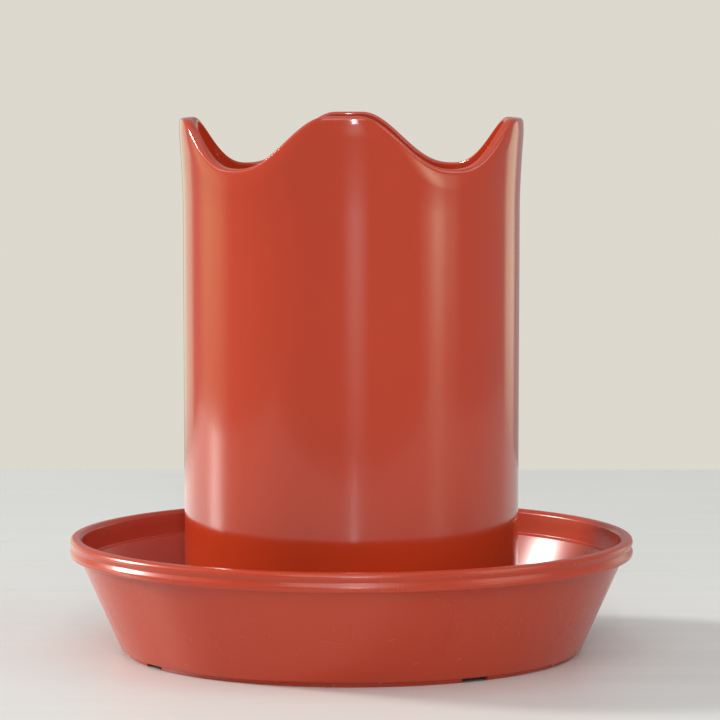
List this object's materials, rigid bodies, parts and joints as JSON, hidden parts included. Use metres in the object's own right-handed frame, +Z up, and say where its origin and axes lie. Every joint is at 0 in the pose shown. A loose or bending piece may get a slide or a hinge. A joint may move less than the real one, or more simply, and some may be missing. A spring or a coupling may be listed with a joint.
{
  "type": "poultry waterer fount",
  "caption": "Round crowned plastic water tank standing in a wide shallow drinking tray with a double-beaded rim, filled from the top and feeding the tray by vacuum.",
  "frame": {"origin": "centre of the foot ring's underside, on the surface that the tray stands on", "axes": "+Z up along the common axis of tank and tray; -Y is the front, towards a crest of the crown; +X to the right"},
  "size_m": [0.25, 0.25, 0.2382],
  "materials": {
    "terracotta_plastic": "satin moulded, terracotta red",
    "dark_rubber": "matt moulded",
    "white_acetal": "turned, off-white",
    "stainless_steel": "drawn and turned"
  },
  "bodies": {
    "tray": {"drinking_tray": "terracotta_plastic", "lock_ring": "terracotta_plastic"},
    "seat": {"seat_ring": "dark_rubber"},
    "fount": {"fount_shell": "terracotta_plastic", "tank_floor": "terracotta_plastic", "top_deck": "terracotta_plastic", "floor_seal": "dark_rubber", "deck_seal": "dark_rubber", "stem_guide": "white_acetal"},
    "gasket": {"cap_gasket": "dark_rubber"},
    "cap": {"filler_cap": "terracotta_plastic"},
    "valve": {"valve_stem": "white_acetal", "valve_plug": "dark_rubber", "plug_washer": "stainless_steel", "plug_nut": "stainless_steel", "valve_spring": "stainless_steel"}
  },
  "joints": [
    {"name": "fount_lift", "type": "slide", "parent": "tray", "child": "seat", "axis": [0, 0, 1], "range_m": [0, 0.06]},
    {"name": "fount_turn", "type": "hinge", "parent": "seat", "child": "fount", "pos_m": [0, 0, 0.0072], "axis": [0, 0, 1], "range_deg": [-20, 0]},
    {"name": "cap_rise", "type": "slide", "parent": "fount", "child": "gasket", "axis": [0, 0, 1], "range_m": [0, 0.0076]},
    {"name": "cap_turn", "type": "hinge", "parent": "gasket", "child": "cap", "pos_m": [0, 0, 0.206], "axis": [0, 0, 1], "range_deg": [0, 540]},
    {"name": "valve_slide", "type": "slide", "parent": "fount", "child": "valve", "axis": [0, 0, 1], "range_m": [0, 0.0076], "deforming": ["valve_spring"]}
  ],
  "couplings": [
    {"joint": "cap_rise", "follows": "cap_turn", "m_per_rad": 0.00079577},
    {"joint": "valve_slide", "follows": "cap_turn", "m_per_rad": 0.00079577}
  ]
}
